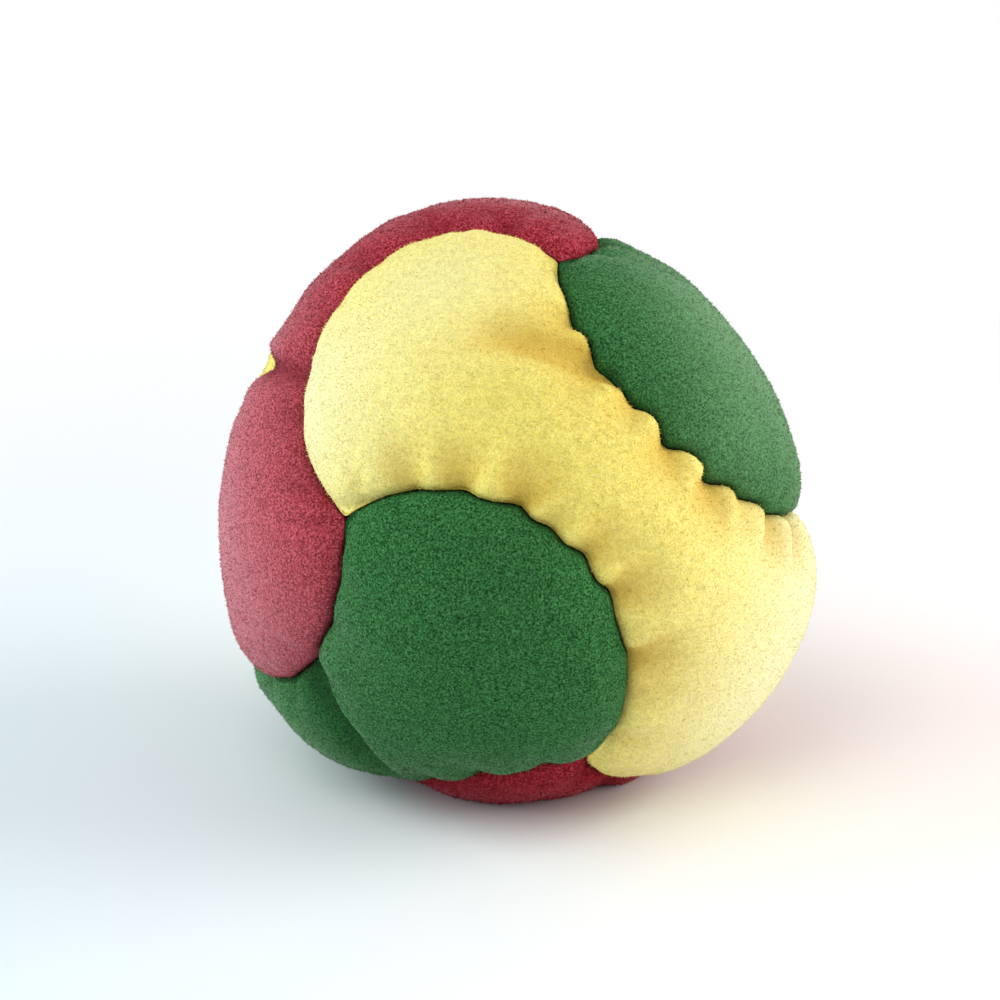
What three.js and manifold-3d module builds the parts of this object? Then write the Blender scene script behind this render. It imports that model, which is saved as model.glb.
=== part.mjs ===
// A six-panel footbag of soft suede, filled with sand and settled on a table.
// Millimetres, +Z up. The front of the bag faces -Y, and the origin is the middle of its flat foot.
// Each panel is a dog-bone of suede. Its two round ends are sewn into the hollow sides, the waists,
// of two neighbours, and two other neighbours are sewn into its own waists, as on a cube whose
// edges are all bowed sideways.

import * as THREE from 'three';
import { mergeVertices } from 'three/addons/utils/BufferGeometryUtils.js';
import Module from 'manifold-3d';

const wasm = await Module();
wasm.setup();

// Driving dimensions of the bag
const bagRadius = 29.3;
const settleDrop = 2.4; // how far the sand has let the bag sink
const settleRound = 0.6; // softness of the turn from the flat foot to the side
const swellHeight = 1.8; // how far the sand bulges the bag, where it bulges most

// Suede and its seams
const suedeThickness = 1.1;
const seamGap = 0.34; // between the two allowances of a seam
const seamDepth = 1.8; // seam line below the crown of the panels
const lobeRollWidth = 4.2; // rounded edge of a panel's round end
const waistRollWidth = 5.2; // rounded edge of a panel's gathered waist
const rimWidth = 1.3; // first step of the rounded edge
const skirtWidth = 3; // whole width of the edge before the panel's field begins
const allowanceDepth = 3.2; // seam allowance, turned inwards
const scallopDepth = 0.28; // small waves of the seam line
const tuckDepth = 0.7; // gathers of the waist beside the seam
const tuckReach = 6.5; // how far a gather runs into the panel
const foldDepth = 1.5;
const foldWidth = 3.4;

// Sewing thread
const threadDiameter = 0.45;
const threadClearance = 0.3; // round the thread, in its holes and beside the allowances
const stitchDepth = 1.75; // below the seam line
const stitchTurnLength = 0.9; // length along the seam in which the thread turns into its hole
const knotDiameter = 1.5;

// Lining and filling
const liningThickness = 0.35;
const liningClearance = 0.34; // between the suede and the lining
const grooveWidth = 3; // half of the groove in the lining over a seam
const pillowWidth = 4.4; // where the lining meets the inner side of a panel
const fillClearance = 0.32;
const mouthInset = 11; // from the closing seam to the mouth of the lining
const mouthBore = 2.4;
const neckWall = 0.8;
const neckLength = 4.2;
const tieDiameter = 0.6;
const tieDepth = 2.2; // of the tie on the neck, below the lining
const pocketClearance = 0.5; // round the tied neck, in the sand

// Counts
const quarterSteps = 4; // steps of a panel's face along a quarter of a seam
const seamSteps = 4 * quarterSteps;
const shrinkPasses = 10;
const tuckCount = seamSteps / 2;
const stitchCount = 4;
const firstStitchStep = 2; // whole steps of the seam before the first stitch, and after the last
const threadSides = 5;
const holeSides = 4;
const neckSides = 12;
const tieSteps = 14;
const knotSteps = 20;
const nearestSteps = 8 * seamSteps; // how finely the nearest point of a seam is looked for

// Shares
const straightShare = 0.85; // of a crossing, on which the thread runs straight through its holes
const tuckEndShare = 0.12; // of the seam, where the gathers fade out at its ends
const relaxShare = 0.35; // of the way to its neighbours, at which a shrinking loop stays even
const depthPower = 4; // how sharply the deeper of an edge and a fold wins over the other

const centreHeight = bagRadius - settleDrop;
const centre = new THREE.Vector3(0, 0, centreHeight);

const suedeRoughness = 0.95;
const threadRoughness = 0.8;
const colours = { yellow: 0xe9dc78, green: 0x2c6b42, red: 0x94303f, thread: 0xe6dfc8, lining: 0xd8d4c6, sand: 0xb79b6c };

// Corners where three panels meet, in degrees of longitude from the front and of latitude. Most
// opposite corners lie straight through the bag's centre from each other.
const cornerDegrees = {
  front_left: [-37, 13],
  front_top: [32, 75],
  front_low: [19, -43],
  front_right: [88, 2],
  back_right: [143, -13],
  back_base: [-148, -75],
  back_top: [-161, 43],
  back_left: [-103, -5],
};

// Panels, with their corners anticlockwise as seen from outside, beginning with a round end
const panels = {
  yellow_front_panel: { colour: colours.yellow, corners: ['front_top', 'front_left', 'front_low', 'front_right'] },
  yellow_back_panel: { colour: colours.yellow, corners: ['back_right', 'back_base', 'back_left', 'back_top'] },
  red_left_panel: { colour: colours.red, corners: ['back_left', 'front_left', 'front_top', 'back_top'] },
  red_base_panel: { colour: colours.red, corners: ['back_right', 'front_right', 'front_low', 'back_base'] },
  green_lower_panel: { colour: colours.green, corners: ['front_low', 'front_left', 'back_left', 'back_base'] },
  green_upper_panel: { colour: colours.green, corners: ['front_top', 'front_right', 'back_right', 'back_top'] },
};

// Seams: the round end of one panel is sewn into the waist of another. The bulge is in degrees, and
// the lean is a share of the seam's span that pushes the bulge towards the second corner.
const seams = [
  { ends: ['front_left', 'front_top'], lobe: 'yellow_front', waist: 'red_left', bulge: 32, leanShare: 0.08 },
  { ends: ['front_low', 'front_right'], lobe: 'yellow_front', waist: 'red_base', bulge: 27, leanShare: -0.06 },
  { ends: ['back_left', 'back_top'], lobe: 'yellow_back', waist: 'red_left', bulge: 23.5, leanShare: -0.04 },
  { ends: ['back_base', 'back_right'], lobe: 'yellow_back', waist: 'red_base', bulge: 26, leanShare: 0 },
  { ends: ['front_left', 'back_left'], lobe: 'red_left', waist: 'green_lower', bulge: 34, leanShare: 0.02 },
  { ends: ['front_top', 'back_top'], lobe: 'red_left', waist: 'green_upper', bulge: 20, leanShare: 0.06 },
  { ends: ['front_low', 'back_base'], lobe: 'red_base', waist: 'green_lower', bulge: 25, leanShare: 0.06 },
  { ends: ['front_right', 'back_right'], lobe: 'red_base', waist: 'green_upper', bulge: 29, leanShare: 0 },
  { ends: ['front_left', 'front_low'], lobe: 'green_lower', waist: 'yellow_front', bulge: 36, leanShare: -0.05 },
  { ends: ['front_top', 'front_right'], lobe: 'green_upper', waist: 'yellow_front', bulge: 35, leanShare: -0.03 },
  { ends: ['back_left', 'back_base'], lobe: 'green_lower', waist: 'yellow_back', bulge: 30, leanShare: 0 },
  { ends: ['back_top', 'back_right'], lobe: 'green_upper', waist: 'yellow_back', bulge: 30, leanShare: 0, closing: true },
];

// Where the sand bulges the bag out or leaves it flat: the middle and the spread in degrees, and
// the height as a share of the highest swell
const swells = [
  { at: [-74, -37], spread: 26, heightShare: 1.15 },
  { at: [-77, -32], spread: 8, heightShare: 0.35 },
  { at: [-86, -12], spread: 18, heightShare: -0.3 },
  { at: [-130, 60], spread: 28, heightShare: 0.6 },
  { at: [-104, 30], spread: 20, heightShare: -0.6 },
  { at: [-105, 34], spread: 9, heightShare: 0.65 },
  { at: [-97, 19], spread: 6, heightShare: 0.35 },
  { at: [-48, -60], spread: 14, heightShare: 0.2 },
  { at: [82, -22], spread: 24, heightShare: 0.6 },
  { at: [70, -45], spread: 20, heightShare: 0.5 },
  { at: [56, -56], spread: 14, heightShare: 0.22 },
  { at: [86, -8], spread: 9, heightShare: 0.25 },
  { at: [94, 4], spread: 16, heightShare: -1.1 },
  { at: [90, 0], spread: 6, heightShare: -0.6 },
  { at: [110, 36], spread: 30, heightShare: -1.9 },
  { at: [158, 69], spread: 22, heightShare: -0.22 },
];

// Main folds of the panels, each a valley that fades from one point to another, in degrees
const folds = [
  { panel: 'green_lower_panel', from: [-47, -20], to: [-40, -46], depthShare: 1 },
  { panel: 'red_left_panel', from: [-90, 31], to: [-52, 38], depthShare: 1.1 },
  { panel: 'yellow_front_panel', from: [25, 46], to: [-10, 50], depthShare: 1.2 },
  { panel: 'yellow_front_panel', from: [20, -14], to: [36, -21], depthShare: 0.7 },
  { panel: 'yellow_back_panel', from: [-176, -16], to: [-152, -18], depthShare: 0.6 },
  { panel: 'green_upper_panel', from: [118, 54], to: [128, 30], depthShare: 0.6 },
  { panel: 'red_base_panel', from: [78, -36], to: [96, -56], depthShare: 0.5 },
];

function directionOf([longitude, latitude]) {
  const across = THREE.MathUtils.degToRad(longitude);
  const up = THREE.MathUtils.degToRad(latitude);
  return new THREE.Vector3(Math.cos(up) * Math.sin(across), -Math.cos(up) * Math.cos(across), Math.sin(up));
}

function blend(pairs) {
  const sum = new THREE.Vector3();
  for (const [vector, weight] of pairs) sum.addScaledVector(vector, weight);
  return sum;
}

const smoothstep = (value) => THREE.MathUtils.smoothstep(value, 0, 1);

const corners = {};
for (const [name, degrees] of Object.entries(cornerDegrees)) corners[name] = directionOf(degrees);

for (const panel of Object.values(panels)) {
  panel.middle = blend(panel.corners.map((name) => [corners[name], 1])).normalize();
}

// The frame of a seam: the great circle between its corners, and the side to which it bulges
for (const seam of seams) {
  const [start, end] = seam.ends.map((name) => corners[name]);
  const left = start.clone().cross(end).normalize();
  seam.waistSide = Math.sign(left.dot(panels[`${seam.waist}_panel`].middle));
  seam.left = left;
  seam.middle = start.clone().add(end).normalize();
  seam.forward = left.clone().cross(seam.middle);
  seam.span = start.angleTo(end);
}

// The gathers of a waist: 1 in each tuck, 0 on each puff between, fading out at the seam's ends
function tuckWave(share) {
  const ends = smoothstep(share / tuckEndShare) * smoothstep((1 - share) / tuckEndShare);
  return (ends * (1 - Math.cos(2 * Math.PI * tuckCount * share))) / 2;
}

// A point of the seam line on the unit sphere, from share 0 at its first corner to 1 at its second
function seamDirection(seam, share) {
  const turn = Math.PI * share;
  const along = seam.span * (seam.leanShare * Math.sin(turn) - Math.cos(turn) / 2);
  const wave = (scallopDepth / bagRadius) * (tuckWave(share) - 1 / 2) * Math.sin(turn);
  const lift = THREE.MathUtils.degToRad(seam.bulge) * Math.sin(turn) + wave;
  return blend([
    [seam.middle, Math.cos(along) * Math.cos(lift)],
    [seam.forward, Math.sin(along) * Math.cos(lift)],
    [seam.left, Math.sin(lift) * seam.waistSide],
  ]);
}

// The seam's sideways direction, towards its waist panel. The gathers' waves are left out of it.
function seamSideways(seam, share) {
  const turn = Math.PI * share;
  const alongRate = seam.span * (seam.leanShare * Math.cos(turn) + Math.sin(turn) / 2);
  const liftRate = THREE.MathUtils.degToRad(seam.bulge) * Math.cos(turn);
  const along = seam.span * (seam.leanShare * Math.sin(turn) - Math.cos(turn) / 2);
  const lift = THREE.MathUtils.degToRad(seam.bulge) * Math.sin(turn);
  const tangent = blend([
    [seam.middle, -Math.sin(along) * Math.cos(lift) * alongRate - Math.cos(along) * Math.sin(lift) * liftRate],
    [seam.forward, Math.cos(along) * Math.cos(lift) * alongRate - Math.sin(along) * Math.sin(lift) * liftRate],
    [seam.left, Math.cos(lift) * liftRate * seam.waistSide],
  ]);
  const sideways = seamDirection(seam, share).cross(tangent);
  return sideways.multiplyScalar(seam.waistSide).normalize();
}

// The four sides of a panel in order. Each knows its seam, whether it runs it backwards, and
// whether the panel lies on the waist's side of it.
function panelSides(name) {
  const loop = panels[name].corners;
  return loop.map((start, index) => {
    const end = loop[(index + 1) % loop.length];
    const seam = seams.find((one) => one.ends.includes(start) && one.ends.includes(end));
    return { seam, backwards: seam.ends[0] === end, inwards: `${seam.waist}_panel` === name ? 1 : -1 };
  });
}

function sideFrame(side, share) {
  const seamShare = side.backwards ? 1 - share : share;
  const inwards = seamSideways(side.seam, seamShare).multiplyScalar(side.inwards);
  return { direction: seamDirection(side.seam, seamShare), inwards };
}

// The closed loop of directions that lies a given small width inside a panel's seams
function seamLoop(name, width) {
  const sides = panelSides(name);
  const angle = width / bagRadius;
  const loop = [];
  sides.forEach((side, index) => {
    const before = sideFrame(sides[(index + sides.length - 1) % sides.length], 1);
    const corner = sideFrame(side, 0);
    const mitre = 1 + before.inwards.dot(corner.inwards);
    const shift = before.inwards.clone().add(corner.inwards).divideScalar(mitre);
    loop.push(corner.direction.clone().addScaledVector(shift, angle).normalize());
    for (let step = 1; step < seamSteps; step += 1) {
      const { direction, inwards } = sideFrame(side, step / seamSteps);
      loop.push(direction.addScaledVector(inwards, angle).normalize());
    }
  });
  return loop;
}

// The loop some way further in, reached in small passes that keep its points even
function shrunkLoop(name, width) {
  const stride = (width - seamGap / 2) / shrinkPasses / bagRadius;
  let loop = seamLoop(name, seamGap / 2);
  const beside = (index, step) => loop[(index + step + loop.length) % loop.length];
  for (let pass = 0; pass < shrinkPasses; pass += 1) {
    loop = loop.map((point, index) => {
      const inwards = point.clone().cross(beside(index, 1).clone().sub(beside(index, -1))).normalize();
      return point.clone().addScaledVector(inwards, stride).normalize();
    });
    loop = loop.map((point, index) => {
      const between = beside(index, 1).clone().add(beside(index, -1)).divideScalar(2);
      return point.clone().lerp(between, relaxShare).normalize();
    });
  }
  return loop;
}

// Every second point of a loop
const coarse = (loop) => loop.filter((point, index) => index % 2 === 0);

// Where a point of the rim of the rows below lies on their loop. The rows run from the middle half
// of one round end to that of the other, so each corner of the rows is a quarter along a round end.
function rimIndex(row, column, quarter) {
  const [rows, columns] = [6 * quarter, 2 * quarter];
  if (row === 0) return quarter + column;
  if (column === columns) return 3 * quarter + row;
  if (row === rows) return 11 * quarter - column;
  return column === 0 ? (17 * quarter - row) % (16 * quarter) : undefined;
}

// Rows of directions that fill a panel's loop, blended between its four sides
function fillLoop(loop) {
  const quarter = loop.length / 16;
  const [rows, columns] = [6 * quarter, 2 * quarter];
  const at = (row, column) => loop[rimIndex(row, column, quarter)];
  const filled = [];
  for (let row = 0; row <= rows; row += 1) {
    const down = row / rows;
    filled.push([]);
    for (let column = 0; column <= columns; column += 1) {
      const across = column / columns;
      const ruled = blend([
        [at(0, column), 1 - down],
        [at(rows, column), down],
        [at(row, 0), 1 - across],
        [at(row, columns), across],
        [at(0, 0), -(1 - down) * (1 - across)],
        [at(0, columns), -(1 - down) * across],
        [at(rows, columns), -down * across],
        [at(rows, 0), -down * (1 - across)],
      ]);
      filled[row].push(ruled.normalize());
    }
  }
  return filled;
}

// The nearest point of each seam of a panel: its distance in millimetres and its share
const seamSamples = new Map(seams.map((seam) => {
  const samples = [];
  for (let step = 0; step <= nearestSteps; step += 1) samples.push(seamDirection(seam, step / nearestSteps));
  return [seam, samples];
}));

function nearestOnSeam(seam, direction) {
  let best = 0;
  let cosine = -1;
  seamSamples.get(seam).forEach((sample, step) => {
    const dot = sample.dot(direction);
    if (dot > cosine) {
      cosine = dot;
      best = step;
    }
  });
  return { distance: Math.acos(Math.min(cosine, 1)) * bagRadius, share: best / nearestSteps };
}

function crownRadius(direction) {
  let radius = bagRadius;
  for (const swell of swells) {
    const away = THREE.MathUtils.radToDeg(direction.angleTo(directionOf(swell.at))) / swell.spread;
    radius += swellHeight * swell.heightShare * Math.exp(-(away ** 2));
  }
  return radius;
}

// How deep the rounded edges and gathers of a panel lie at a direction
function edgeDepth(name, direction) {
  let squares = 0;
  let tucks = 0;
  for (const side of panelSides(name)) {
    const { distance, share } = nearestOnSeam(side.seam, direction);
    const isWaist = side.inwards > 0;
    const rollWidth = isWaist ? waistRollWidth : lobeRollWidth;
    squares += Math.max(0, 1 - distance / rollWidth) ** 4;
    if (isWaist) tucks = Math.max(tucks, tuckWave(share) * Math.max(0, 1 - distance / tuckReach));
  }
  return seamDepth * Math.min(1, Math.sqrt(squares)) + tuckDepth * tucks * (1 - Math.min(1, squares));
}

function foldDepthAt(name, direction) {
  let depth = 0;
  for (const fold of folds.filter((one) => one.panel === name)) {
    const [from, to] = [directionOf(fold.from), directionOf(fold.to)];
    const way = to.clone().sub(from);
    const share = THREE.MathUtils.clamp(direction.clone().sub(from).dot(way) / way.lengthSq(), 0, 1);
    const nearest = from.clone().addScaledVector(way, share).normalize();
    const away = (direction.angleTo(nearest) * bagRadius) / foldWidth;
    depth = Math.max(depth, foldDepth * fold.depthShare * Math.exp(-(away ** 2)));
  }
  return depth;
}

// Flattens what would lie below the foot, with a soft turn at its edge
function settled(direction, radius) {
  const height = centreHeight + radius * direction.z;
  if (direction.z >= 0 || height >= settleRound) return radius;
  const kept = height <= -settleRound ? 0 : (height + settleRound) ** 2 / (4 * settleRound);
  return (kept - centreHeight) / direction.z;
}

function suedeRadius(name, direction) {
  const depths = [edgeDepth(name, direction), foldDepthAt(name, direction)];
  const depth = depths.reduce((sum, one) => sum + one ** depthPower, 0) ** (1 / depthPower);
  return settled(direction, crownRadius(direction) - depth);
}

const seamRadius = (direction) => settled(direction, crownRadius(direction) - seamDepth);
const tipRadius = (direction) => seamRadius(direction) - allowanceDepth;
const place = (direction, radius) => centre.clone().addScaledVector(direction, radius);

// Closed skins, built of loops and rows of points
class Skin {
  points = [];
  triangles = [];

  loop(points) {
    const first = this.points.length;
    this.points.push(...points);
    return points.map((point, index) => first + index);
  }

  quad(a, b, c, d) {
    this.triangles.push(a, b, c, a, c, d);
  }

  // Joins two loops. The second may have half as many points as the first.
  bridge(from, to) {
    const fine = from.length / to.length;
    to.forEach((start, index) => {
      const end = to[(index + 1) % to.length];
      if (fine === 1) {
        this.quad(from[index], start, end, from[(index + 1) % from.length]);
        return;
      }
      const [a, b, c] = [0, 1, 2].map((step) => from[(index * fine + step) % from.length]);
      this.triangles.push(a, start, b, b, start, end, b, end, c);
    });
  }

  // Fills a loop with rows of points. The rows' rim repeats the loop.
  fill(rows, loop, inwards) {
    const quarter = loop.length / 16;
    const index = rows.map((points, row) => points.map((point, column) => {
      const rim = rimIndex(row, column, quarter);
      return rim === undefined ? this.points.push(point) - 1 : loop[rim];
    }));
    for (let row = 0; row + 1 < index.length; row += 1) {
      for (let column = 0; column + 1 < index[row].length; column += 1) {
        const [a, b] = [index[row][column], index[row][column + 1]];
        const [c, d] = [index[row + 1][column + 1], index[row + 1][column]];
        if (inwards) this.quad(a, d, c, b);
        else this.quad(a, b, c, d);
      }
    }
  }

  geometry() {
    const geometry = new THREE.BufferGeometry();
    const positions = this.points.flatMap((point) => point.toArray());
    geometry.setAttribute('position', new THREE.Float32BufferAttribute(positions, 3));
    geometry.setIndex(this.triangles);
    return geometry;
  }
}

function solidOf(geometry) {
  const bare = geometry.clone();
  bare.deleteAttribute('normal');
  bare.deleteAttribute('uv');
  const merged = mergeVertices(bare);
  return new wasm.Manifold(new wasm.Mesh({
    numProp: 3,
    vertProperties: new Float32Array(merged.attributes.position.array),
    triVerts: new Uint32Array(merged.index.array),
  }));
}

function geometryOf(solid) {
  const { vertProperties, triVerts } = solid.getMesh();
  const geometry = new THREE.BufferGeometry();
  geometry.setAttribute('position', new THREE.BufferAttribute(vertProperties, 3));
  geometry.setIndex(new THREE.BufferAttribute(triVerts, 1));
  return geometry;
}

// A primitive whose own Y axis is turned to a direction, at a place
function turnedTo(geometry, direction, at) {
  const turn = new THREE.Quaternion().setFromUnitVectors(new THREE.Vector3(0, 1, 0), direction);
  return geometry.applyQuaternion(turn).translate(at.x, at.y, at.z);
}

// The skin of one panel: its face, the allowance turned in along all four seams, and its back
function panelSkin(name) {
  const skin = new Skin();
  const faceRadius = (direction) => suedeRadius(name, direction);
  const backRadius = (direction) => suedeRadius(name, direction) - suedeThickness;
  const placed = (directions, radiusOf) => directions.map((direction) => place(direction, radiusOf(direction)));
  const fieldLoop = shrunkLoop(name, skirtWidth);
  const edgeLoop = seamLoop(name, seamGap / 2);
  const insideLoop = seamLoop(name, seamGap / 2 + suedeThickness);
  const pillowLoop = coarse(shrunkLoop(name, pillowWidth));

  const field = skin.loop(placed(fieldLoop, faceRadius));
  const chain = [
    field,
    skin.loop(placed(shrunkLoop(name, rimWidth), faceRadius)),
    skin.loop(placed(edgeLoop, seamRadius)),
    skin.loop(placed(edgeLoop, tipRadius)),
    skin.loop(placed(insideLoop, tipRadius)),
    skin.loop(placed(insideLoop, backRadius)),
    skin.loop(placed(pillowLoop, backRadius)),
  ];
  skin.fill(fillLoop(fieldLoop).map((row) => placed(row, faceRadius)), field, false);
  for (let index = 1; index < chain.length; index += 1) skin.bridge(chain[index - 1], chain[index]);
  skin.fill(fillLoop(pillowLoop).map((row) => placed(row, backRadius)), chain.at(-1), true);
  return skin.geometry();
}

// A point beside the seam line, at the depth of the stitches
function stitchPoint(seam, share, sideways) {
  const line = seamDirection(seam, share);
  const direction = line.clone().addScaledVector(seamSideways(seam, share), sideways / bagRadius).normalize();
  return place(direction, seamRadius(line) - stitchDepth);
}

// Each stitch passes through the middle of one of the seam's steps
const stitchShares = [];
for (let stitch = 0; stitch < stitchCount; stitch += 1) {
  const step = firstStitchStep + ((seamSteps - 1 - 2 * firstStitchStep) * stitch) / (stitchCount - 1);
  stitchShares.push((Math.round(step) + 1 / 2) / seamSteps);
}
const threadReach = seamGap / 2 + suedeThickness + threadClearance + threadDiameter / 2;

// The holes of one seam's stitches, through both allowances
function stitchHoles(seam) {
  const outerRadius = threadDiameter / 2 + threadClearance;
  const radius = outerRadius / Math.cos(Math.PI / holeSides);
  return stitchShares.map((share) => {
    const hole = new THREE.CylinderGeometry(radius, radius, 2 * threadReach, holeSides);
    return solidOf(turnedTo(hole, seamSideways(seam, share), stitchPoint(seam, share, 0)));
  });
}

function panelSolid(name) {
  let solid = solidOf(panelSkin(name));
  for (const side of panelSides(name)) {
    for (const hole of stitchHoles(side.seam)) solid = solid.subtract(hole);
  }
  return geometryOf(solid);
}

// A path that is divided evenly between its points, so that a thread turns exactly at them
class ThreadPath extends THREE.CatmullRomCurve3 {
  constructor(points) {
    super(points, false, 'centripetal');
  }

  getUtoTmapping(share) {
    return share;
  }
}

// A running stitch: through both allowances, along, and back through them, in one thread
function threadPath(seam) {
  const points = [];
  const turnShare = stitchTurnLength / (bagRadius * seam.span);
  stitchShares.forEach((share, index) => {
    const side = index % 2 === 0 ? 1 : -1;
    points.push(stitchPoint(seam, share - turnShare, -side * threadReach));
    points.push(stitchPoint(seam, share, -side * threadReach * straightShare));
    points.push(stitchPoint(seam, share, side * threadReach * straightShare));
    points.push(stitchPoint(seam, share + turnShare, side * threadReach));
    const next = stitchShares[index + 1];
    if (next) points.push(stitchPoint(seam, (share + next) / 2, side * threadReach));
  });
  return new ThreadPath(points);
}

function seamThread(seam) {
  const path = threadPath(seam);
  const section = new THREE.Shape();
  for (let side = 0; side < threadSides; side += 1) {
    const angle = (2 * Math.PI * side) / threadSides;
    const [x, y] = [(Math.cos(angle) * threadDiameter) / 2, (Math.sin(angle) * threadDiameter) / 2];
    if (side === 0) section.moveTo(x, y);
    else section.lineTo(x, y);
  }
  return new THREE.ExtrudeGeometry(section, { steps: path.points.length - 1, extrudePath: path, curveSegments: 1 });
}

// The closed surface inside all six panels: grooves over the seams, pillows under the panels
function innerSurface(depth) {
  const skin = new Skin();
  for (const name of Object.keys(panels)) {
    const grooveRadius = (direction) => tipRadius(direction) - depth;
    const pillowRadius = (direction) => suedeRadius(name, direction) - suedeThickness - depth;
    const placed = (directions, radiusOf) => directions.map((direction) => place(direction, radiusOf(direction)));
    const pillowLoop = coarse(shrunkLoop(name, pillowWidth));
    const pillow = skin.loop(placed(pillowLoop, pillowRadius));
    const groove = skin.loop(placed(coarse(shrunkLoop(name, grooveWidth)), grooveRadius));
    const seamLine = skin.loop(placed(coarse(seamLoop(name, 0)), grooveRadius));
    skin.fill(fillLoop(pillowLoop).map((row) => placed(row, pillowRadius)), pillow, false);
    skin.bridge(pillow, groove);
    skin.bridge(groove, seamLine);
  }
  return solidOf(skin.geometry());
}

// The mouth of the lining, beside the closing seam
const closingSeam = seams.find((seam) => seam.closing);
const mouthPanel = `${closingSeam.lobe}_panel`;
const mouthDirection = seamDirection(closingSeam, 1 / 2)
  .addScaledVector(seamSideways(closingSeam, 1 / 2), -mouthInset / bagRadius)
  .normalize();
const mouthRadius = suedeRadius(mouthPanel, mouthDirection) - suedeThickness - liningClearance;
const neckDiameter = mouthBore + 2 * neckWall;

// A cylinder along the mouth, between two depths below the lining's outside
function mouthCylinder(diameter, fromDepth, toDepth) {
  const length = toDepth - fromDepth;
  const at = place(mouthDirection, mouthRadius - (fromDepth + toDepth) / 2);
  const cylinder = new THREE.CylinderGeometry(diameter / 2, diameter / 2, length, neckSides);
  return solidOf(turnedTo(cylinder, mouthDirection, at));
}

// The lining: a thin bag whose gathered mouth is tucked in
function liningSolid() {
  const outside = innerSurface(liningClearance);
  const inside = innerSurface(liningClearance + liningThickness);
  const neck = mouthCylinder(neckDiameter, liningThickness / 2, neckLength);
  const bore = mouthCylinder(mouthBore, -neckWall, neckLength + neckWall);
  return geometryOf(outside.subtract(inside).add(neck).subtract(bore));
}

// The thread tied round the neck of the lining
function liningTie() {
  const ring = (neckDiameter + tieDiameter) / 2 + threadClearance;
  const torus = new THREE.TorusGeometry(ring, tieDiameter / 2, threadSides, tieSteps).rotateX(Math.PI / 2);
  return turnedTo(torus, mouthDirection, place(mouthDirection, mouthRadius - tieDepth));
}

// The sand, with a pocket for the tied neck
function sandSolid() {
  const pocketDiameter = neckDiameter + 2 * (tieDiameter + threadClearance + pocketClearance);
  const pocket = mouthCylinder(pocketDiameter, -neckWall, neckLength + pocketClearance);
  const sand = innerSurface(liningClearance + liningThickness + fillClearance);
  return geometryOf(sand.subtract(pocket));
}

// The knot that ends the closing thread, on the inner side of the allowance
function closingKnot() {
  const last = stitchShares[stitchCount - 1];
  const side = stitchCount % 2 === 0 ? -1 : 1;
  const clear = stitchTurnLength + knotDiameter / 2 + threadDiameter;
  const share = last + clear / (bagRadius * closingSeam.span);
  const reach = threadReach - threadDiameter / 2 + knotDiameter / 2;
  const at = stitchPoint(closingSeam, share, side * reach);
  const knot = new THREE.TorusKnotGeometry(knotDiameter / 4, knotDiameter / 8, knotSteps, threadSides);
  return knot.translate(at.x, at.y, at.z);
}

function suedeMaterial(colour) {
  return new THREE.MeshStandardMaterial({ color: colour, roughness: suedeRoughness, metalness: 0 });
}

function threadMaterial(colour) {
  return new THREE.MeshStandardMaterial({ color: colour, roughness: threadRoughness, metalness: 0 });
}

function named(name, geometry, material) {
  const mesh = new THREE.Mesh(geometry, material);
  mesh.name = name;
  return mesh;
}

function threadName(seam) {
  return seam.closing ? 'closing_thread' : `thread_${seam.lobe}_to_${seam.waist}`;
}

const shell = new THREE.Group();
for (const [name, panel] of Object.entries(panels)) shell.add(named(name, panelSolid(name), suedeMaterial(panel.colour)));

const sewing = new THREE.Group();
for (const seam of seams) sewing.add(named(threadName(seam), seamThread(seam), threadMaterial(colours.thread)));
sewing.add(named('closing_knot', closingKnot(), threadMaterial(colours.thread)));

const inside = new THREE.Group();
inside.add(named('lining_bag', liningSolid(), threadMaterial(colours.lining)));
inside.add(named('lining_tie', liningTie(), threadMaterial(colours.thread)));
inside.add(named('sand_fill', sandSolid(), suedeMaterial(colours.sand)));

const footbag = new THREE.Group();
footbag.add(shell, sewing, inside);

export default footbag;
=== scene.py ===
"""The footbag's looks: six sewn suede panels, pressed out by sand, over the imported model."""

import math

import bmesh
import bpy
import numpy as np
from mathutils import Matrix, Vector, noise


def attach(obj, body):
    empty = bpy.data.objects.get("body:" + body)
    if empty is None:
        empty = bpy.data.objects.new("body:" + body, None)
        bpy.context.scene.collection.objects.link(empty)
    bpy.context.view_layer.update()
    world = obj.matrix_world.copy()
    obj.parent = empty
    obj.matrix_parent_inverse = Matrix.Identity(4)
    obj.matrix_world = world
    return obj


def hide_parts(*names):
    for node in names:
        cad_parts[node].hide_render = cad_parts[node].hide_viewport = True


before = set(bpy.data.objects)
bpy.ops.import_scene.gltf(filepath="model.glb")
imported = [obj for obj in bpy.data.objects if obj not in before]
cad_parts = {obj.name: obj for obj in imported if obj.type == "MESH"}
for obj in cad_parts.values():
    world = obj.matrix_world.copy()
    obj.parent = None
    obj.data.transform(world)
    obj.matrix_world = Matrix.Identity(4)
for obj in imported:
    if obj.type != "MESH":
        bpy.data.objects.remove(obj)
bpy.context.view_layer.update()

MM = 0.001
IMAGE_SIDE = 1000  # pixels of the picture's side

# The bag, in millimetres, as in the part's source
BAG_RADIUS = 29.3
SETTLE_DROP = 2.4
SETTLE_ROUND = 0.6
SWELL_HEIGHT = 1.8
CENTRE_HEIGHT = BAG_RADIUS - SETTLE_DROP
CENTRE = np.array([0.0, 0.0, CENTRE_HEIGHT])

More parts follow.
